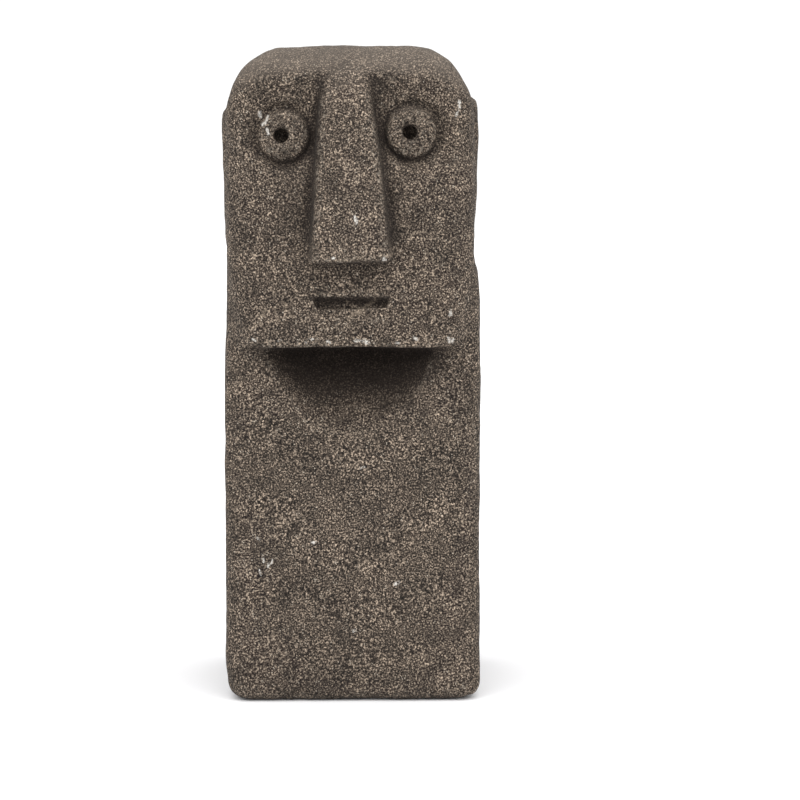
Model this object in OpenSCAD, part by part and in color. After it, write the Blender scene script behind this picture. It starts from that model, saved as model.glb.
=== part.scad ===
// Carved stone figure: a square block with a heavy head, standing on four felt feet.
// Millimetres. +Z is up, the face looks along -Y and +X is on the viewer's right.
// The origin is the middle of the figure's outer box, on the surface that it stands on.

/* [Block] */
// Height from the resting surface to the crown
figure_h = 300; // [285:1:315]
// Depth from the tip of the nose to the back
figure_d = 130; // [124:1:138]
// Width of the body
body_w = 117; // [110:1:124]
// Depth of the body at its foot
body_d = 112; // [108:1:116]
// How far the body's front leans back between its foot and the shoulders
body_lean = 4; // [0:0.5:6]
// Plan radius of the body's upright edges
body_edge_r = 9; // [6:0.5:12]
// Rounding of the body's lower edge
base_round = 7; // [4:0.5:9]
// How far each shoulder leans in between the chin's height and its top
shoulder_lean = 1.1; // [0.5:0.1:3]

/* [Head] */
// Width across the temples, without the ears
head_w = 113; // [106:1:116]
// Width of the jaw at the chin
jaw_w = 100; // [90:1:106]
// Height of the chin's edge
chin_z = 162.5; // [155:0.5:162.5]
// Height at which the body's shoulders end
shoulder_z = 200; // [190:1:206]
// How far the chin stands forward of the body's foot
chin_reach = 7; // [4:0.5:8]
// How far the face leans back between the chin and the brow
face_lean = 11; // [6:0.5:13]
// Plan radius of the jaw's and of the head's upright edges
jaw_edge_r = 9; // [6:0.5:12]
head_edge_r = 13; // [9:0.5:16]
// Width and height of the crown's rounded corners, seen from the front
crown_round = [28, 32];
// Depth and height of the forehead's rounding, seen from the side
forehead_round = [27, 21];
// Depth and height of the rounding at the back of the head
nape_round = [22, 28];
// How far the head sits to the left of the body's middle
head_shift = 1; // [0:0.5:3]

/* [Neck] */
// Depth of the hollow under the chin, behind the body's front
neck_depth = 22; // [14:1:26]
// Slope of the hollow's floor from the vertical, in degrees
neck_slope = 30; // [24:1:34]
// Radius of the round cut that makes the hollow
neck_r = 50; // [46:1:60]

/* [Nose] */
// Height of the nose's root and of its underside
nose_root_z = 284; // [280:1:287]
nose_tip_z = 202; // [196:1:206]
// Width of the nose's front at the root and at the tip
nose_root_w = 23; // [20:1:27]
nose_tip_w = 34.5; // [30:0.5:38]
// How much wider each side of the nose is where it meets the cheek
nose_flare = 2.5; // [1:0.5:4]
// Rounding of the nose's edges
nose_edge_r = 1.5; // [1:0.1:2]
// Turn of the nose in the plane of the face, in degrees, and how far its tip sits to the left
nose_turn = 1.6; // [0:0.2:3]
nose_shift = 0.5; // [0:0.1:1]

/* [Eyes] */
// Middle of each eye: across and up
left_eye = [-30.8, 259];
right_eye = [27.4, 260.5];
// Radius of the groove round each eye
eye_r = 13.2; // [12:0.2:14.5]
// Height of the dome inside the groove
eye_dome_h = 2.8; // [2:0.2:4]
// Radius of the groove's round section
groove_r = 2; // [1:0.1:2]
// Radius and depth of the drilled pupils
pupil_r = 3.5; // [3:0.1:4]
pupil_depth = 11; // [8:1:14]
// How far each pupil sits to the left of its eye's middle
pupil_shift = 0.9; // [0:0.1:1.5]
// Radius and depth of the shallow hollow that each eye lies in
socket_r = 60; // [50:1:70]
socket_depth = 5; // [4:0.5:6]
// Radius and depth of the cut beside the nose's root, its distance from the nose's middle, and its drop
root_cut_r = 40; // [34:1:46]
root_cut_depth = 6; // [4:0.5:8]
root_cut_side = 15; // [12:1:18]
root_cut_drop = 18; // [14:1:22]

/* [Mouth] */
// Height of the mouth's upper edge
mouth_z = 186.5; // [181:0.5:188]
// Width of the mouth at its upper edge and at its lower edge
mouth_w = [36.5, 31];
// Height of the slot, and its depth at the lower edge
mouth_h = 5; // [3:0.5:6]
mouth_depth = 8; // [5:0.5:9]
// Radius of the lower lip's round bar, and how far it stands out
lip_r = 6; // [5:0.5:7]
lip_proud = 1.1; // [0.6:0.1:1.6]

/* [Ears] */
// Top and bottom height of the left ear and of the right ear
left_ear = [272, 204];
right_ear = [276.5, 207];
// Breadth of an ear from front to back, at its top
ear_breadth = 26; // [20:1:30]
// Breadth of an ear's foot as a share of that
ear_taper = 0.7; // [0.5:0.05:1]
// Distance from the brow back to the middle of the ears
ear_back = 32; // [26:1:38]
// How far the ears stand out beyond the head's sides at their top and at their foot
ear_proud = [2.35, 0.9];
// Width of the ears' bevelled rim
ear_rim = 1.8; // [1:0.1:2.4]

/* [Feet] */
// Diameter and thickness of a felt foot
foot_d = 20; // [14:1:24]
foot_t = 1.5; // [1:0.1:3]
// Distance from the middle of a foot to the body's side and front
foot_inset = 21; // [18:1:26]

/* [Hidden] */
FOOT_NAMES = ["felt_foot_front_left", "felt_foot_front_right",
              "felt_foot_back_left", "felt_foot_back_right"];

STONE = [0.40, 0.36, 0.32];
FELT = [0.20, 0.19, 0.18];

skin = 0.01;          // thickness of the plates that a block is stretched over
flush = 0.4;          // how far the head's back lies in front of the body's
bury = 14;            // how deep a raised shape reaches into the stone behind it
reach = 400;          // a length that runs past the whole figure
round_fn = 32;        // sides of the plates' corners and of the ears' ends
bead_fn = 16;         // sides of the nose's edge beads
arc_steps = 7;        // plates in each rounded end

back_y = figure_d / 2;
nose_y = -figure_d / 2;
foot_front_y = back_y - body_d;
body_mid_x = head_shift / 2;
head_mid_x = -head_shift / 2;
chin_y = foot_front_y - chin_reach;
brow_z = nose_root_z;
face_angle = atan(face_lean / (brow_z - chin_z));
// depth of an eye's hollow at the groove round it
rim_depth = socket_depth - eye_r * eye_r / (2 * socket_r);

// The face's flat at height z, and the body's front there
function face_y(z) = chin_y + (z - chin_z) * tan(face_angle);
function body_front_y(z) = foot_front_y + body_lean * z / shoulder_z;

// How far a rounded end has drawn in at height z, for a rounding of [reach, rise] that stops at top
function drawn_in(z, top, rounding) =
    let (up = (z - top + rounding[1]) / rounding[1])
    up <= 0 ? 0 : rounding[0] * (1 - sqrt(max(0, 1 - up * up)));

// One plate of a block: four thin posts at its corners, which hull() stretches a skin over
module plate(z, mid_x, half_w, front_y, rear_y, r) {
    for (x = [mid_x - half_w + r, mid_x + half_w - r], y = [front_y + r, rear_y - r])
        translate([x, y, z])
            cylinder(r = r, h = skin, $fn = round_fn);
}

module body_block() {
    hull() {
        for (i = [0:arc_steps]) {
            a = 90 * i / arc_steps;
            drawn = base_round * (1 - sin(a));
            plate(foot_t + base_round * (1 - cos(a)), body_mid_x, body_w / 2 - drawn,
                  body_front_y(0) + drawn, back_y - drawn, body_edge_r);
        }
        plate(chin_z, body_mid_x, body_w / 2, body_front_y(chin_z), back_y, body_edge_r);
        plate(shoulder_z - skin, body_mid_x, body_w / 2 - shoulder_lean,
              body_front_y(shoulder_z), back_y, body_edge_r);
    }
}

// The round cut under the chin, which leaves the chin's edge standing forward
module neck_cut() {
    intersection() {
        translate([head_mid_x, body_front_y(chin_z) + neck_depth, chin_z])
            rotate([-neck_slope, 0, 0])
                translate([0, -neck_r, 0])
                    cylinder(r = neck_r, h = reach, center = true);
        translate([-reach / 2, -reach, chin_z - reach])
            cube([reach, 2 * reach, reach]);
    }
}

module head_block() {
    head_back_y = back_y - flush;
    crown_z = figure_h - crown_round[1];
    hull() {
        plate(chin_z, head_mid_x, jaw_w / 2, face_y(chin_z), head_back_y, jaw_edge_r);
        plate(shoulder_z, head_mid_x, head_w / 2, face_y(shoulder_z), head_back_y, head_edge_r);
        for (i = [0:2 * arc_steps]) {
            z = crown_z + crown_round[1] * sin(45 * i / arc_steps) - skin;
            plate(z, head_mid_x,
                  head_w / 2 - drawn_in(z, figure_h, crown_round),
                  face_y(min(z, brow_z)) + drawn_in(z, figure_h, forehead_round),
                  head_back_y - drawn_in(z, figure_h, nape_round),
                  head_edge_r);
        }
    }
}

// Places its children on the face: their own Z comes straight out of the stone
module on_face(x, z, out = 0) {
    translate([x, face_y(z), z])
        rotate([90 - face_angle, 0, 0])
            translate([0, 0, out])
                children();
}

module nose() {
    r = nose_edge_r;
    tall = nose_root_z - nose_tip_z;
    root_y = face_y(brow_z) - 0.5;
    cheek_y = face_y(nose_tip_z) + 1;
    translate([-nose_shift, 0, nose_tip_z])
        rotate([0, -nose_turn, 0])
            hull()
                for (side = [-1, 1]) {
                    root_x = side * (nose_root_w / 2 - r);
                    tip_x = side * (nose_tip_w / 2 - r);
                    cheek_x = tip_x + side * nose_flare;
                    for (bead = [[root_x, root_y + r, tall - r], [root_x, root_y + bury, tall - r],
                                 [tip_x, nose_y + r, r],
                                 [cheek_x, cheek_y, r], [cheek_x, cheek_y + bury, r]])
                        translate(bead)
                            sphere(r = r, $fn = bead_fn);
                }
}

// Shallow hollows for the eyes, and a deeper cut beside the root of the nose
module eye_sockets() {
    for (eye = [left_eye, right_eye])
        on_face(eye[0], eye[1], socket_r - socket_depth)
            sphere(r = socket_r);
    for (side = [-1, 1])
        on_face(side * root_cut_side, brow_z - root_cut_drop, root_cut_r - root_cut_depth)
            sphere(r = root_cut_r);
}

// A low dome that fills each eye's ring
module eye_domes() {
    dome_r = eye_r - groove_r / 3;
    ball_r = (dome_r * dome_r + eye_dome_h * eye_dome_h) / (2 * eye_dome_h);
    for (eye = [left_eye, right_eye])
        intersection() {
            on_face(eye[0], eye[1], eye_dome_h - rim_depth - ball_r)
                sphere(r = ball_r);
            on_face(eye[0], eye[1], -bury)
                cylinder(r = dome_r, h = 2 * bury);
        }
}

module eye_grooves() {
    for (eye = [left_eye, right_eye])
        on_face(eye[0], eye[1], -rim_depth)
            rotate_extrude()
                translate([eye_r, 0])
                    circle(r = groove_r);
}

module pupils() {
    for (eye = [left_eye, right_eye])
        on_face(eye[0] - pupil_shift, eye[1], -pupil_depth)
            cylinder(r = pupil_r, h = 2 * pupil_depth);
}

// The slot slants in from its upper edge and ends on a level ledge, the lower lip's top
module mouth_slot() {
    out = 4;
    grow = out / mouth_depth;
    wide = mouth_w[0] / 2 + (mouth_w[0] - mouth_w[1]) / 2 * grow;
    deep = mouth_w[1] / 2;
    corners = [[-wide, mouth_h * grow, out], [wide, mouth_h * grow, out],
               [-deep, -mouth_h, -mouth_depth], [deep, -mouth_h, -mouth_depth],
               [-deep, -mouth_h, out], [deep, -mouth_h, out]];
    on_face(0, mouth_z)
        polyhedron(corners, [[2, 3, 1, 0], [2, 0, 4], [3, 5, 1], [4, 5, 3, 2], [5, 4, 0, 1]]);
}

module lower_lip() {
    half_w = mouth_w[1] / 2 - lip_proud;
    hull()
        for (x = [-half_w, half_w])
            on_face(x, mouth_z - mouth_h - lip_r + skin, lip_proud - lip_r)
                sphere(r = lip_r, $fn = round_fn);
}

// A low pad on the side of the head, narrower and lower at its foot, with a bevelled rim
module ear(side, ends) {
    top_r = ear_breadth / 2;
    low_r = top_r * ear_taper;
    hull()
        for (end = [[ends[0] - top_r, top_r, ear_proud[0]], [ends[1] + low_r, low_r, ear_proud[1]]],
             sunk = [0, ear_rim])
            translate([head_mid_x + side * (head_w / 2 + end[2] - sunk), face_y(brow_z) + ear_back, end[0]])
                rotate([0, -side * 90, 0])
                    cylinder(r = end[1] - ear_rim + sunk, h = bury, $fn = round_fn);
}

module stone_figure() {
    color(STONE)
        difference() {
            union() {
                difference() {
                    body_block();
                    neck_cut();
                }
                difference() {
                    head_block();
                    eye_sockets();
                }
                nose();
                eye_domes();
                lower_lip();
                ear(-1, left_ear);
                ear(1, right_ear);
            }
            eye_grooves();
            pupils();
            mouth_slot();
        }
}

module felt_foot(i) {
    side = i % 2 == 0 ? -1 : 1;
    y = i < 2 ? foot_front_y + foot_inset : back_y - foot_inset;
    color(FELT)
        translate([body_mid_x + side * (body_w / 2 - foot_inset), y, 0])
            cylinder(d = foot_d, h = foot_t);
}

stone_figure();
for (i = [0:3]) felt_foot(i);
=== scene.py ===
import math

import bmesh
import bpy
import numpy as np
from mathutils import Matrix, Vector, noise


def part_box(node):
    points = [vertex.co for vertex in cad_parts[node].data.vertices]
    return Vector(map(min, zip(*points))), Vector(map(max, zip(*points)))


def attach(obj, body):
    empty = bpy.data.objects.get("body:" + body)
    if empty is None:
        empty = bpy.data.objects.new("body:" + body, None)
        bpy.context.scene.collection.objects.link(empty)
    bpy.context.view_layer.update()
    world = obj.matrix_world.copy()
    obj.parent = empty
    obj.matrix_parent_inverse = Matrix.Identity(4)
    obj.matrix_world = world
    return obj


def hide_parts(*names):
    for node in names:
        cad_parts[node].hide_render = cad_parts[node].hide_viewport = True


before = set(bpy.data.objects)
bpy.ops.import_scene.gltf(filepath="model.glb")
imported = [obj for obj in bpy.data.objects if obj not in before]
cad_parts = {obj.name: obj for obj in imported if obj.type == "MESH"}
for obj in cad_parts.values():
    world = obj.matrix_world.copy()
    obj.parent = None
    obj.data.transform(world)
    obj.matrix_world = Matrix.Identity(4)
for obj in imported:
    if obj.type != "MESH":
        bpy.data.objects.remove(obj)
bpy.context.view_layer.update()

MM = 0.001
scene = bpy.context.scene

# Places on the carving, in millimetres: X across, Z up
# Heights of the chin's edge, the shoulders and the brow
CHIN_Z = 162.5
SHOULDER_Z = 200
BROW_Z = 284
# Where the face's middle line stands, and how far the jaw's corners are from it
FACE_MID_X = -0.5
JAW_HALF = 50
# How far the stone stays above the floor
FOOT_CLEARANCE = 0.3
# Middle of each eye, and the radius of the groove round it
LEFT_EYE = (-30.8, 259)
RIGHT_EYE = (27.4, 260.5)
RING_R = 12.6
# Each eye's middle, the way to the nose, and how strong its ring is away from the nose and towards it
EYES = [(LEFT_EYE, 1, 0.25, 1.0), (RIGHT_EYE, -1, 0.5, 1.0)]
# Radius of the drilled pupils, and how far they sit to the left of each eye's middle
PUPIL_R = 3.5
PUPIL_SHIFT = 0.9
# Height of the nose's lower edge
NOSE_TIP_Z = 202
# How far the nose's two sides stand from X = 0 at the brow and at the tip
NOSE_LEFT = (-14, -20)
NOSE_RIGHT = (10, 19)
# Heights of the mouth's upper and lower edges
MOUTH_TOP = 186.5
MOUTH_LOW = 181.5

# Distance between the points of the worked stone, in millimetres, and its triangles at the end
SKIN_SPACING = 1.0
STONE_TRIANGLES = 192000

# The strewn marks: where each kind's random draws start, and the turn of a stroke that stands upright
CHALK_SEED = 5
SCRAPE_SEED = 8
DENT_SEED = 11
UPRIGHT = math.pi / 2

# The felt discs: how far their edge is drawn in and rounded, in millimetres, and how many sides they have
FELT_ROUNDING = 0.3
FELT_SIDES = 72

# The camera: its place in metres, how far it looks down and to the right in degrees, and its lens
CAMERA_PLACE = (-0.001, -1.25, 0.255)
CAMERA_DOWN = 5.5
CAMERA_RIGHT = 1.09
CAMERA_LENS = 119.7
# Radius of the floor in metres, and how bright the room is as light and as seen
FLOOR_RADIUS = 6.0
ROOM_LIGHT = 0.38
ROOM_SEEN = 1.1


def clamp(value, low=0.0, high=1.0):
    return np.minimum(np.maximum(value, low), high)


def smoothstep(value, start, end):
    """0 at start and 1 at end, with a soft turn at both. start may be the larger one."""
    t = clamp((value - start) / (end - start))
    return t * t * (3 - 2 * t)


def ridge(value, width):
    """1 where value is 0, falling off to nothing a few widths away."""
    return np.exp(-(value / width) ** 2)


# ---------------------------------------------------------------- mesh helpers

def piece_from(mesh, name):
    piece = bpy.data.objects.new(name, mesh)
    scene.collection.objects.link(piece)
    return piece


def shade_smooth(mesh):
    mesh.polygons.foreach_set("use_smooth", [True] * len(mesh.polygons))


def merged_copy(node, name):
    """A copy of a CAD node's mesh with its loose triangles joined into one closed skin."""
    bm = bmesh.new()
    bm.from_mesh(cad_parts[node].data)
    bmesh.ops.remove_doubles(bm, verts=bm.verts, dist=0.01 * MM)
    mesh = bpy.data.meshes.new(name)
    bm.to_mesh(mesh)
    bm.free()
    return piece_from(mesh, name)


def apply_modifiers(piece):
    graph = bpy.context.evaluated_depsgraph_get()
    done = bpy.data.meshes.new_from_object(piece.evaluated_get(graph))
    piece.modifiers.clear()
    piece.data = done


def voxel_skin(piece, size):
    remesh = piece.modifiers.new("even skin", "REMESH")
    remesh.mode = "VOXEL"
    remesh.voxel_size = size
    apply_modifiers(piece)


def thin_out(piece, triangles):
    """Joins the flattest triangles until there are about this many."""
    now = sum(len(face.vertices) - 2 for face in piece.data.polygons)
    thin = piece.modifiers.new("thin out", "DECIMATE")
    thin.ratio = min(1.0, triangles / now)
    apply_modifiers(piece)


class Skin:
    """The points of a mesh as arrays, in millimetres, so that the whole surface is worked at once."""

    def __init__(self, mesh):
        self.mesh = mesh
        count = len(mesh.vertices)
        self.points = np.zeros(count * 3)
        mesh.vertices.foreach_get("co", self.points)
        self.points = self.points.reshape(-1, 3) / MM
        edges = np.zeros(len(mesh.edges) * 2, int)
        mesh.edges.foreach_get("vertices", edges)
        self.ends = edges.reshape(-1, 2)
        self.degree = np.bincount(self.ends.ravel(), minlength=count).astype(float)

    @property
    def x(self):
        return self.points[:, 0]

    @property
    def y(self):
        return self.points[:, 1]

    @property
    def z(self):
        return self.points[:, 2]

    def spread(self, values):
        """The mean of each point's neighbours."""
        a, b = self.ends[:, 0], self.ends[:, 1]
        total = np.zeros_like(values)
        for i in range(values.shape[1]):
            total[:, i] = np.bincount(a, values[b, i], len(values))
            total[:, i] += np.bincount(b, values[a, i], len(values))
        return total / self.degree[:, None]

    def smoothed(self, values, passes, share=0.5):
        for _ in range(passes):
            values = values + (self.spread(values) - values) * share
        return values

    def smooth(self, passes, weight=1.0):
        strength = np.broadcast_to(weight, len(self.points))[:, None] * 0.5
        for _ in range(passes):
            self.points += (self.spread(self.points) - self.points) * strength

    def normals(self):
        self.write()
        found = np.zeros(len(self.points) * 3)
        self.mesh.vertices.foreach_get("normal", found)
        return found.reshape(-1, 3)

    def write(self):
        self.mesh.vertices.foreach_set("co", (self.points * MM).ravel())
        self.mesh.update()

    def store(self, name, values):
        layer = self.mesh.attributes.new(name, "FLOAT", "POINT")
        layer.data.foreach_set("value", clamp(values).astype(np.float32))

    def noise(self, wave, octaves=1, shift=0.0, stretch=(1, 1, 1)):
        """Noise of about -1 to 1 with bumps a wave apart, or further apart along a stretched axis."""
        offset = Vector((shift, shift * 1.7, -shift))
        places = self.points / (np.array(stretch) * wave)
        if octaves == 1:
            return np.array([noise.noise(Vector(p) + offset) for p in places])
        return np.array([noise.fractal(Vector(p) + offset, 1.0, 2.0, octaves) for p in places])

    def cells(self, wave, shift=0.0, stretch=(1, 1, 1)):
        """Distance from the nearest of a scatter of seeds in waves, and a random number for that seed."""
        offset = Vector((shift, -shift, shift * 1.3))
        near, tag = [], []
        for p in self.points / (np.array(stretch) * wave):
            lengths, seeds = noise.voronoi(Vector(p) + offset)
            near.append(lengths[0])
            tag.append(noise.cell(seeds[0] * 7.31))
        return np.array(near), np.array(tag)

    def from_stroke(self, start, end):
        """Distance from a straight stroke on the front, measured across X and Z."""
        start, along = np.array(start), np.array(end) - np.array(start)
        away = self.points[:, [0, 2]] - start
        t = clamp(away @ along / (along @ along))
        return np.linalg.norm(away - t[:, None] * along, axis=1)

    def front(self):
        """1 on the front and 0 behind it."""
        return smoothstep(self.y, -30, -36)


# ---------------------------------------------------------------- the stone

def crisp(skin):
    """The cuts that keep a sharp edge: the mouth, the nose's tip and the chin."""
    mouth = smoothstep(np.hypot(skin.x / 20, (skin.z - MOUTH_LOW - 1) / 8), 1.3, 1.0)
    nose_tip = smoothstep(np.hypot(skin.x / 20, (skin.z - NOSE_TIP_Z) / 6), 1.3, 1.0)
    chin = smoothstep(np.hypot((skin.x - FACE_MID_X) / 44, (skin.z - CHIN_Z) / 6), 1.3, 1.0)
    return np.maximum(np.maximum(mouth, nose_tip), chin) * skin.front()


def jaw_corners(skin):
    """Where the jaw's lower corners run out softly into the block."""
    off = np.abs(skin.x - FACE_MID_X) - JAW_HALF
    across = smoothstep(np.abs(off + 1), 13, 5)
    above = smoothstep(skin.z, CHIN_Z - 14, CHIN_Z - 4)
    below = smoothstep(skin.z, SHOULDER_Z + 12, SHOULDER_Z - 10)
    return across * above * below * smoothstep(skin.y, -28, -36)


def shoulders(skin):
    """The tops of the shoulders and the notch above them."""
    return smoothstep(np.abs(skin.z - SHOULDER_Z), 12, 4) * smoothstep(np.abs(skin.x), 45, 52)


def nose_root(skin):
    """The nose runs up into the forehead without an end."""
    across = smoothstep(np.abs(skin.x + 2), 14, 8)
    return across * smoothstep(np.abs(skin.z - BROW_Z - 1), 9, 4) * smoothstep(skin.y, -20, -30)


def brow(skin):
    """The hollows of the eyes fade out under the brow."""
    return smoothstep(np.abs(skin.z - BROW_Z + 1), 10, 5) * smoothstep(skin.y, -20, -30)


def ears(skin):
    """The ears' rims are worn down into the sides of the head."""
    return smoothstep(np.abs(skin.x), 54, 56) * smoothstep(skin.z, SHOULDER_Z, SHOULDER_Z + 6)


def back_of_neck(skin):
    """The back runs past the shoulders without a step."""
    return smoothstep(np.abs(skin.z - SHOULDER_Z), 16, 6) * smoothstep(skin.y, 40, 52)


def around_eye(skin, eye, inward):
    """Distance from an eye's middle, and 1 on its side towards the nose and below, 0 on the other side."""
    dx, dz = skin.x - eye[0], skin.z - eye[1]
    away = np.hypot(dx, dz)
    return away, 0.5 + 0.5 * (dx * inward * 0.86 - dz * 0.5) / np.maximum(away, 1)


def eye_rings(skin):
    """A groove cut round each eye, deepest towards the nose and below."""
    cut = np.zeros(len(skin.points))
    for eye, inward, least, most in EYES:
        away, facing = around_eye(skin, eye, inward)
        cut += ridge(away - RING_R, 1.3) * (least + (most - least) * facing) * 1.8
    return cut * skin.front()


def from_pupil(skin, eye):
    """Distance from the middle of an eye's drilled pupil."""
    return np.hypot(skin.x - eye[0] + PUPIL_SHIFT, skin.z - eye[1])


def pupil_mouths(skin):
    """The drill has worn a small funnel at the mouth of each pupil."""
    cut = np.zeros(len(skin.points))
    for eye, worn in ((LEFT_EYE, 0.6), (RIGHT_EYE, 1.3)):
        funnel = smoothstep(from_pupil(skin, eye), PUPIL_R + 2.6, PUPIL_R - 0.4)
        cut += funnel * worn * smoothstep(skin.y, -40, -44)
    return cut


def mouth_slot(skin):
    """1 in the mouth's slot, which is a little narrower at its lower edge."""
    half = 15.6 + 2.2 * (skin.z - MOUTH_LOW) / (MOUTH_TOP - MOUTH_LOW)
    across = smoothstep(np.abs(skin.x), half + 0.5, half - 0.5)
    above = smoothstep(skin.z, MOUTH_LOW - 0.5, MOUTH_LOW + 0.4)
    below = smoothstep(skin.z, MOUTH_TOP + 0.3, MOUTH_TOP - 0.6)
    return across * above * below


def from_nose_side(skin, side):
    """Distance from one side of the nose, from the brow down to a little above the tip."""
    at_brow, at_tip = side
    return skin.from_stroke((at_brow, BROW_Z), (at_tip, NOSE_TIP_Z + 10))


def from_cheek(skin, eye, inward):
    """Distance from the middle of the cheek, below one eye's ring."""
    x = eye[0] + inward * RING_R / 2.5
    return skin.from_stroke((x, eye[1] - RING_R), (x, eye[1] - 3 * RING_R))


def nose_creases(skin):
    """The creases where the nose's sides meet the brow and the cheeks."""
    left, right = from_nose_side(skin, NOSE_LEFT), from_nose_side(skin, NOSE_RIGHT)
    fade = smoothstep(skin.z, 206, 236) * smoothstep(skin.z, 290, 280)
    return (ridge(left, 2.4) * 1.5 + ridge(right, 2.4) * 1.3) * fade * skin.front()


def chin_lift(skin):
    """The chin's edge is worked up a little from the block's set-out line."""
    near = smoothstep(np.abs(skin.z - CHIN_Z), 9, 1) * smoothstep(skin.y, -40, -48)
    return near * smoothstep(np.abs(skin.x - FACE_MID_X), 52, 44) * 0.9


def foot_edge(skin):
    """The front's lower edge is fuller than the other three."""
    return smoothstep(skin.z, 11, 3) * smoothstep(skin.y, -32, -40)


def base_corner(skin):
    """The block's foot draws in a little at its left side."""
    return smoothstep(skin.x, -40, -58) * smoothstep(skin.z, 21, 3) * 1.3


def right_temple(skin):
    """The crown's right corner is cut back a little above the ear."""
    return smoothstep(skin.x, 36, 50) * ridge(skin.z - 287, 8) * 1.3


def left_ear_top(skin):
    """The left ear stands out most at its top."""
    return smoothstep(skin.x, -50, -54) * ridge(skin.z - 269, 9) * 0.8


def crown_wear(skin):
    """The crown falls away slightly to the left."""
    return smoothstep(skin.x, -2, -34) * smoothstep(skin.z, 286, 297) * 0.6


def scattered(draw, count, middle, spread, length, half_width, lean=0.0):
    """Short strokes strewn about a place: each one's start, end and half width."""
    strokes = []
    for _ in range(count):
        x, z = draw.normal(middle, spread)
        turn = draw.normal(lean, 0.4)
        reach = length * draw.uniform(0.3, 0.7)
        step_x, step_z = reach * math.cos(turn), reach * math.sin(turn)
        width = half_width * draw.uniform(0.7, 1.3)
        strokes.append(((x - step_x, z - step_z), (x + step_x, z + step_z), width))
    return strokes


def chalk_marks():
    """Pale dust: mostly along the chin's edge, by the eyes and on the nose, some on the body."""
    draw = np.random.default_rng(CHALK_SEED)
    beside_left_ring = (LEFT_EYE[0] - RING_R * 0.7, LEFT_EYE[1] + RING_R * 0.4)
    return (scattered(draw, 9, (FACE_MID_X, CHIN_Z + 4.5), (JAW_HALF / 2, 0.8), 1.6, 0.5)
            + scattered(draw, 4, beside_left_ring, (2, 3), 1.8, 0.5, UPRIGHT)
            + scattered(draw, 3, (JAW_HALF - 1, BROW_Z - 12), (1, 3), 2.4, 0.45, UPRIGHT)
            + scattered(draw, 3, (JAW_HALF - 5, CHIN_Z + 10), (1, 5), 1.8, 0.5, UPRIGHT)
            + scattered(draw, 2, (FACE_MID_X + 2.5, NOSE_TIP_Z + 20), (0.4, 1.5), 3.0, 0.65, UPRIGHT)
            + scattered(draw, 4, (FACE_MID_X, NOSE_TIP_Z + 2), (8, 0.5), 1.2, 0.35)
            + scattered(draw, 5, (-JAW_HALF * 0.8, SHOULDER_Z * 0.3), (2, 8), 2.6, 0.45, UPRIGHT)
            + scattered(draw, 5, (0, SHOULDER_Z * 0.4), (22, 26), 1.2, 0.55))


def scrape_marks():
    """Fresher, paler stone where a tool or a knock has scraped the front."""
    draw = np.random.default_rng(SCRAPE_SEED)
    return (scattered(draw, 3, (-JAW_HALF * 0.65, CHIN_Z + 18), (5, 3), 8.0, 0.5, UPRIGHT)
            + scattered(draw, 2, (FACE_MID_X, MOUTH_LOW - 1), (8, 0.4), 14.0, 0.5)
            + scattered(draw, 2, (FACE_MID_X, NOSE_TIP_Z + 1.8), (6, 0.3), 12.0, 0.4)
            + scattered(draw, 5, (0, SHOULDER_Z * 0.4), (26, 36), 7.0, 0.45, 0.4))


def dents(skin):
    """Small dents and bruises strewn over the front, 1 at the middle of each."""
    draw = np.random.default_rng(DENT_SEED)
    found = np.zeros(len(skin.points))
    for start, end, half_width in scattered(draw, 9, (0, SHOULDER_Z * 0.45), (28, 55), 3.0, 1.4):
        found = np.maximum(found, ridge(skin.from_stroke(start, end), half_width))
    return found * skin.front()


def brow_scoop(skin):
    """The shallow scoop where the brow meets the nose on the right."""
    start, end = (FACE_MID_X + 15, BROW_Z - 3), (FACE_MID_X + 18, BROW_Z - 8)
    return ridge(skin.from_stroke(start, end), 3.0) * skin.front()


def chisel_facets(skin):
    """The block's hand-dressed faces: broad swells, finer ones, and pick marks on the sides and back."""
    broad = skin.noise(58, shift=3.1) * 0.7 + skin.noise(21, shift=8.4) * 0.38
    hand = skin.noise(10.5, 2, shift=4.7, stretch=(1.0, 1.0, 1.5)) * 0.22
    near, tag = skin.cells(13, shift=9.1, stretch=(0.8, 0.8, 1.7))
    picks = smoothstep(near, 0.24, 0.05) * smoothstep(tag, 0.2, 0.6) * 0.6
    away_from_face = smoothstep(skin.y, -46, -30)
    return broad + hand * (0.45 + 1.1 * away_from_face) - picks * away_from_face


def wear(skin, edge):
    """Grain that stands out, small pits, and chips along the edges."""
    rough = skin.noise(4.6, 3, shift=1.9) * 0.15
    near, tag = skin.cells(8.5, shift=2.2)
    pits = smoothstep(near, 0.26, 0.06) * smoothstep(tag, 0.5, 0.95) * 0.6
    broken = smoothstep(skin.noise(7.5, 2, shift=5.5), 0.1, 0.55)
    chips = broken * smoothstep(edge, 0.10, 0.45) * 0.8
    return rough - pits - chips


def nearest_mark(skin, strokes):
    """1 on a stroke's line, falling evenly to 0 at eight half widths, so that its edge is at 7/8."""
    found = np.zeros(len(skin.points))
    for start, end, half_width in strokes:
        found = np.maximum(found, 1 - skin.from_stroke(start, end) / (8 * half_width))
    return found * skin.front()


def under_chin(skin):
    """Painted shadow under the chin: the hollow and the stone below it, darkened in the colour."""
    down = smoothstep(skin.z, 120, 149) * smoothstep(skin.z, CHIN_Z + 1.8, CHIN_Z + 0.2)
    wide = 16 + 25 * smoothstep(skin.z, 124, CHIN_Z)
    across = smoothstep(np.abs(skin.x - 2), wide + 12, wide - 10)
    return down * across * smoothstep(skin.y, 0, -12)


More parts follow.
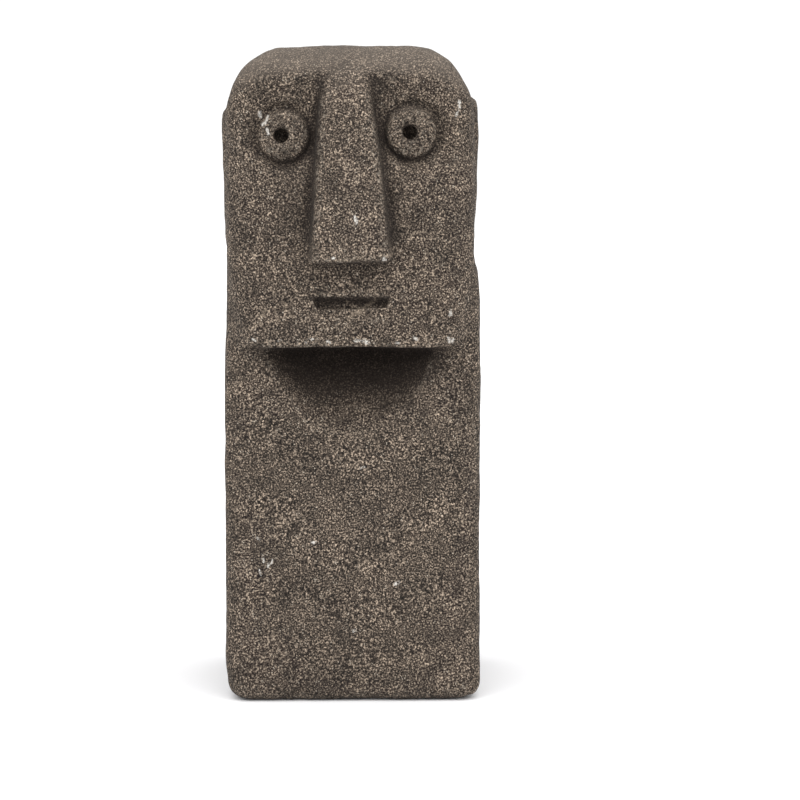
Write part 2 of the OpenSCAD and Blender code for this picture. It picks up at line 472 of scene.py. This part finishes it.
def painted_crease_shade(skin):
    """Painted shade: darkens the creases by the nose, round the eyes and pupils, under the nose, the
    cheeks, the dents, the brow's scoop and the mouth.
    """
    nose_tip = skin.from_stroke((-15, NOSE_TIP_Z), (15, NOSE_TIP_Z))
    parts = [ridge(from_nose_side(skin, NOSE_LEFT), 2.6) * 0.85,
             ridge(from_nose_side(skin, NOSE_RIGHT), 2.6) * 0.80,
             ridge(nose_tip, 1.3) * 0.75,
             brow_scoop(skin) * 0.45,
             ridge(from_cheek(skin, LEFT_EYE, 1), 8.0) * 0.38,
             ridge(from_cheek(skin, RIGHT_EYE, -1), 7.0) * 0.26,
             dents(skin) * 0.5,
             mouth_slot(skin) * (0.62 + 0.33 * smoothstep(skin.z, MOUTH_LOW, MOUTH_TOP - 1))]
    for eye, inward, least, most in EYES:
        away, facing = around_eye(skin, eye, inward)
        parts.append(ridge(away - RING_R, 1.5) * (least + (most - least) * facing))
        parts.append(ridge(from_pupil(skin, eye), PUPIL_R + 0.6) * 0.9)
    dark = np.zeros(len(skin.points))
    for part in parts:
        dark = 1 - (1 - dark) * (1 - clamp(part))
    return dark * skin.front()


def carve_stone():
    piece = merged_copy("stone_figure", "carved_stone")
    voxel_skin(piece, SKIN_SPACING * MM)
    skin = Skin(piece.data)
    skin.smooth(3, 1 - 0.8 * crisp(skin))
    for place, passes in ((jaw_corners, 70), (shoulders, 30), (brow, 24), (nose_root, 90),
                          (ears, 9), (back_of_neck, 100)):
        skin.smooth(passes, place(skin))

    skin.points[:, 1] += eye_rings(skin) + pupil_mouths(skin) + nose_creases(skin)
    skin.points[:, 1] += dents(skin) * 0.9 + brow_scoop(skin) * 1.1
    skin.points[:, 0] += base_corner(skin) - right_temple(skin) - left_ear_top(skin)
    foot = foot_edge(skin)
    skin.points[:, 1] -= foot * 1.2
    skin.points[:, 2] += chin_lift(skin) - foot * 1.1 - crown_wear(skin)
    skin.smooth(1, 1 - crisp(skin))

    outward = skin.normals()
    edge = ((skin.points - skin.smoothed(skin.points, 24)) * outward).sum(1)
    skin.points += outward * (chisel_facets(skin) + wear(skin, edge))[:, None]
    skin.points[:, 2] = np.maximum(skin.points[:, 2], FOOT_CLEARANCE)
    skin.write()

    skin.store("arris", smoothstep(edge, 0.10, 0.60))
    # Concave places, which the colour darkens as painted shade
    skin.store("hollow", smoothstep(-edge, 0.05, 0.60))
    # Painted light: faces turned up on the forehead and crown are made paler, as if lit from above
    skin.store("top_light", smoothstep(outward[:, 2], 0.15, 0.80) * smoothstep(skin.z, 262, 284))
    # Darker towards the bottom, with a ragged upper edge
    skin.store("low_darkening", smoothstep(skin.z + 6 * skin.noise(18, 2, shift=6.3), 62, 20))
    # Painted shadow under the chin
    skin.store("chin_shade", under_chin(skin))
    # Painted shade in the face's creases, eye rings, pupils, cheeks, dents and mouth
    skin.store("crease_shade", painted_crease_shade(skin))
    skin.store("chalk", nearest_mark(skin, chalk_marks()))
    skin.store("scraped", nearest_mark(skin, scrape_marks()))
    thin_out(piece, STONE_TRIANGLES)
    shade_smooth(piece.data)
    return piece


# ---------------------------------------------------------------- materials

class Nodes:
    """Short words for building a material's node tree."""

    def __init__(self, name):
        self.material = bpy.data.materials.new(name)
        self.material.use_nodes = True
        self.tree = self.material.node_tree
        self.shader = self.tree.nodes["Principled BSDF"]
        self.place = self.add("ShaderNodeTexCoord").outputs["Object"]

    def add(self, kind, **settings):
        node = self.tree.nodes.new(kind)
        for key, value in settings.items():
            setattr(node, key, value)
        return node

    def link(self, out, into):
        self.tree.links.new(out, into)

    def noise(self, scale, detail=2.0, roughness=0.5):
        node = self.add("ShaderNodeTexNoise")
        node.inputs["Scale"].default_value = scale
        node.inputs["Detail"].default_value = detail
        node.inputs["Roughness"].default_value = roughness
        self.link(self.place, node.inputs["Vector"])
        return node.outputs["Fac"]

    def cells(self, scale, output="Color"):
        node = self.add("ShaderNodeTexVoronoi")
        node.inputs["Scale"].default_value = scale
        self.link(self.place, node.inputs["Vector"])
        return node.outputs[output]

    def attribute(self, name):
        return self.add("ShaderNodeAttribute", attribute_name=name).outputs["Fac"]

    def ramp(self, value, stops):
        node = self.add("ShaderNodeValToRGB")
        elements = node.color_ramp.elements
        while len(elements) < len(stops):
            elements.new(0.5)
        for element, (at, colour) in zip(elements, stops):
            element.position = at
            element.color = (*colour, 1.0)
        self.link(value, node.inputs["Fac"])
        return node.outputs["Color"]

    def levels(self, value, low, high, to_low=0.0, to_high=1.0):
        node = self.add("ShaderNodeMapRange", clamp=True)
        for key, number in (("From Min", low), ("From Max", high),
                            ("To Min", to_low), ("To Max", to_high)):
            node.inputs[key].default_value = number
        self.link(value, node.inputs["Value"])
        return node.outputs["Result"]

    def math(self, operation, a, b):
        node = self.add("ShaderNodeMath", operation=operation)
        for socket, value in zip(node.inputs, (a, b)):
            if isinstance(value, (int, float)):
                socket.default_value = value
            else:
                self.link(value, socket)
        return node.outputs["Value"]

    def mix(self, factor, a, b, blend="MIX"):
        node = self.add("ShaderNodeMix", data_type="RGBA", blend_type=blend)
        sockets = [s for s in node.inputs if s.type == "RGBA"]
        if isinstance(factor, (int, float)):
            node.inputs["Factor"].default_value = factor
        else:
            self.link(factor, node.inputs["Factor"])
        for socket, value in zip(sockets, (a, b)):
            if isinstance(value, tuple):
                socket.default_value = (*value, 1.0)
            else:
                self.link(value, socket)
        return [s for s in node.outputs if s.type == "RGBA"][0]

    def bump(self, height, distance, strength=1.0, onto=None):
        node = self.add("ShaderNodeBump")
        node.inputs["Distance"].default_value = distance
        node.inputs["Strength"].default_value = strength
        self.link(height, node.inputs["Height"])
        if onto is not None:
            self.link(onto, node.inputs["Normal"])
        return node.outputs["Normal"]


def andesite():
    n = Nodes("speckled andesite")
    grain = n.noise(1350, 2.0, 0.6)
    colour = n.ramp(grain, [(0.36, (0.006, 0.0035, 0.0025)), (0.46, (0.032, 0.0235, 0.0175)),
                            (0.55, (0.088, 0.068, 0.051)), (0.66, (0.335, 0.265, 0.200))])
    crystals = n.levels(n.cells(1450), 0.0, 1.0, 0.35, 1.65)
    colour = n.mix(1.0, colour, crystals, "MULTIPLY")
    mottle = n.levels(n.noise(100, 5.0, 0.68), 0.32, 0.68, 0.62, 1.38)
    colour = n.mix(1.0, colour, mottle, "MULTIPLY")
    broad = n.levels(n.noise(28, 2.0), 0.3, 0.7, 0.84, 1.16)
    colour = n.mix(1.0, colour, broad, "MULTIPLY")
    voids = n.levels(n.cells(640, "Distance"), 0.10, 0.26, 1.0, 0.0)
    voids = n.math("MULTIPLY", voids, n.levels(n.noise(300, 1.0), 0.50, 0.58))
    colour = n.mix(n.math("MULTIPLY", voids, 0.9), colour, (0.006, 0.004, 0.003))
    sparks = n.levels(n.cells(780, "Distance"), 0.14, 0.28, 1.0, 0.0)
    sparks = n.math("MULTIPLY", sparks, n.levels(n.noise(330, 1.0), 0.58, 0.64))
    colour = n.mix(n.math("MULTIPLY", sparks, 0.75), colour, (0.55, 0.48, 0.39))
    # Painted light on the forehead and crown, which face up
    colour = n.mix(n.math("MULTIPLY", n.attribute("top_light"), 0.38), colour, (0.175, 0.145, 0.119))
    # Painted shade: hollows and the face's creases are darkened towards near black
    painted_shade = n.math("MAXIMUM", n.math("MULTIPLY", n.attribute("hollow"), 0.40),
                  n.math("MULTIPLY", n.attribute("crease_shade"), 0.90))
    colour = n.mix(painted_shade, colour, (0.012, 0.008, 0.006))
    # Painted shadow under the chin, darkened towards near black
    colour = n.mix(n.math("MULTIPLY", n.attribute("chin_shade"), 0.90), colour, (0.008, 0.004, 0.002))
    dust = n.math("MULTIPLY", n.attribute("arris"), n.levels(n.noise(700, 2.0), 0.52, 0.66))
    colour = n.mix(n.math("MULTIPLY", dust, 0.35), colour, (0.36, 0.31, 0.25))
    # Darker towards the bottom
    colour = n.mix(n.math("MULTIPLY", n.attribute("low_darkening"), 0.16), colour, (0.012, 0.008, 0.006))
    ragged = n.levels(n.noise(1100, 3.0, 0.75), 0.3, 0.7, -0.12, 0.12)
    broken = n.levels(n.noise(1600, 1.0), 0.42, 0.56, 0.35, 1.0)
    for marks, finish, blend in (("scraped", (0.13, 0.105, 0.078), "ADD"),
                                 ("chalk", (0.62, 0.59, 0.54), "MIX")):
        inside = n.levels(n.math("ADD", n.attribute(marks), ragged), 0.78, 0.92)
        colour = n.mix(n.math("MULTIPLY", inside, broken), colour, finish, blend)
    n.link(colour, n.shader.inputs["Base Color"])
    n.link(n.levels(grain, 0.3, 0.7, 0.95, 0.78), n.shader.inputs["Roughness"])
    coarse = n.bump(n.noise(450, 3.0, 0.6), 0.45 * MM, 0.6)
    fine = n.bump(grain, 0.45 * MM, 0.9, onto=coarse)
    pitted = n.bump(voids, -0.5 * MM, 0.8, onto=fine)
    n.link(pitted, n.shader.inputs["Normal"])
    n.shader.inputs["Specular IOR Level"].default_value = 0.3
    return n.material


def felt():
    n = Nodes("dark felt")
    fibres = n.noise(2400, 3.0, 0.7)
    n.link(n.ramp(fibres, [(0.3, (0.006, 0.006, 0.006)), (0.7, (0.035, 0.033, 0.031))]),
           n.shader.inputs["Base Color"])
    n.link(n.bump(fibres, 0.2 * MM, 0.8), n.shader.inputs["Normal"])
    n.shader.inputs["Roughness"].default_value = 1.0
    n.shader.inputs["Specular IOR Level"].default_value = 0.1
    return n.material


def floor_finish():
    n = Nodes("pale floor")
    n.shader.inputs["Base Color"].default_value = (0.90, 0.90, 0.91, 1.0)
    n.shader.inputs["Roughness"].default_value = 1.0
    n.shader.inputs["Specular IOR Level"].default_value = 0.0
    return n.material


# ---------------------------------------------------------------- felt feet

def felt_disc(node):
    """A stick-on felt disc, pressed a little wider where the stone's weight squeezes it."""
    low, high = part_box(node)
    centre = (low + high) / 2
    radius = (high.x - low.x) / 2
    thick = high.z - low.z
    bm = bmesh.new()
    bmesh.ops.create_circle(bm, cap_ends=True, radius=radius - FELT_ROUNDING * MM, segments=FELT_SIDES)
    disc = bm.faces[:]
    grown = bmesh.ops.extrude_face_region(bm, geom=disc)
    top = [g for g in grown["geom"] if isinstance(g, bmesh.types.BMVert)]
    bmesh.ops.translate(bm, verts=top, vec=(0, 0, thick))
    rims = [e for e in bm.edges if abs(e.verts[0].co.z - e.verts[1].co.z) < 0.1 * MM]
    bmesh.ops.bevel(bm, geom=rims, offset=FELT_ROUNDING * MM, segments=3, profile=0.5,
                    affect="EDGES", material=-1)
    bmesh.ops.recalc_face_normals(bm, faces=bm.faces)
    for v in bm.verts:
        wide = 1 + 0.02 * math.sin(math.pi * v.co.z / thick) + 0.008 * noise.noise(v.co * 900)
        v.co.x *= wide
        v.co.y *= wide
    bmesh.ops.translate(bm, verts=bm.verts, vec=(centre.x, centre.y, low.z))
    mesh = bpy.data.meshes.new(node)
    bm.to_mesh(mesh)
    bm.free()
    shade_smooth(mesh)
    piece = piece_from(mesh, node.replace("felt_foot", "felt_disc"))
    piece.data.materials.append(FELT)
    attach(piece, "root")
    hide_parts(node)


# ---------------------------------------------------------------- build

STONE = andesite()
FELT = felt()

stone = carve_stone()
stone.data.materials.clear()
stone.data.materials.append(STONE)
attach(stone, "root")
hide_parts("stone_figure")

for name in sorted(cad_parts):
    if name.startswith("felt_foot"):
        felt_disc(name)


# ---------------------------------------------------------------- studio

def make_floor():
    bm = bmesh.new()
    bmesh.ops.create_circle(bm, cap_ends=True, radius=FLOOR_RADIUS, segments=96)
    mesh = bpy.data.meshes.new("floor")
    bm.to_mesh(mesh)
    bm.free()
    floor = piece_from(mesh, "floor")
    floor.data.materials.append(floor_finish())


def make_world():
    """A white room that lights the stone softly. The camera sees its walls as plain white."""
    world = bpy.data.worlds.new("studio")
    scene.world = world
    world.use_nodes = True
    tree = world.node_tree
    walls = tree.nodes["Background"]
    seen_walls = tree.nodes.new("ShaderNodeBackground")
    for back, strength in ((walls, ROOM_LIGHT), (seen_walls, ROOM_SEEN)):
        back.inputs["Color"].default_value = (1.0, 1.0, 1.0, 1.0)
        back.inputs["Strength"].default_value = strength
    path = tree.nodes.new("ShaderNodeLightPath")
    both = tree.nodes.new("ShaderNodeMixShader")
    tree.links.new(path.outputs["Is Camera Ray"], both.inputs["Fac"])
    tree.links.new(walls.outputs["Background"], both.inputs[1])
    tree.links.new(seen_walls.outputs["Background"], both.inputs[2])
    tree.links.new(both.outputs["Shader"], tree.nodes["World Output"].inputs["Surface"])


def make_sun(name, strength, spread, elevation, azimuth):
    """A soft light from this elevation. Azimuth 0 is the camera's side, and it turns to the right."""
    data = bpy.data.lights.new(name, "SUN")
    data.energy = strength
    data.angle = math.radians(spread)
    lamp = bpy.data.objects.new(name, data)
    lamp.rotation_euler = (math.radians(90 - elevation), 0, math.radians(azimuth))
    scene.collection.objects.link(lamp)


def make_camera():
    """The camera stands in front of the figure, about level with its eyes, and takes in all of it."""
    data = bpy.data.cameras.new("camera")
    camera = bpy.data.objects.new("camera", data)
    scene.collection.objects.link(camera)
    data.sensor_width = 36.0
    data.lens = CAMERA_LENS
    camera.location = CAMERA_PLACE
    camera.rotation_euler = (math.radians(90 - CAMERA_DOWN), 0, math.radians(-CAMERA_RIGHT))
    scene.camera = camera


make_floor()
make_world()
make_sun("softbox above", 2.9, 100, 66, 0)
make_sun("softbox front", 0.55, 60, 28, 0)
make_sun("softbox left", 0.45, 60, 30, -60)
make_sun("softbox right", 0.45, 60, 30, 60)
make_sun("softbox behind", 0.7, 80, 40, 180)
make_camera()
scene.view_settings.view_transform = "Standard"
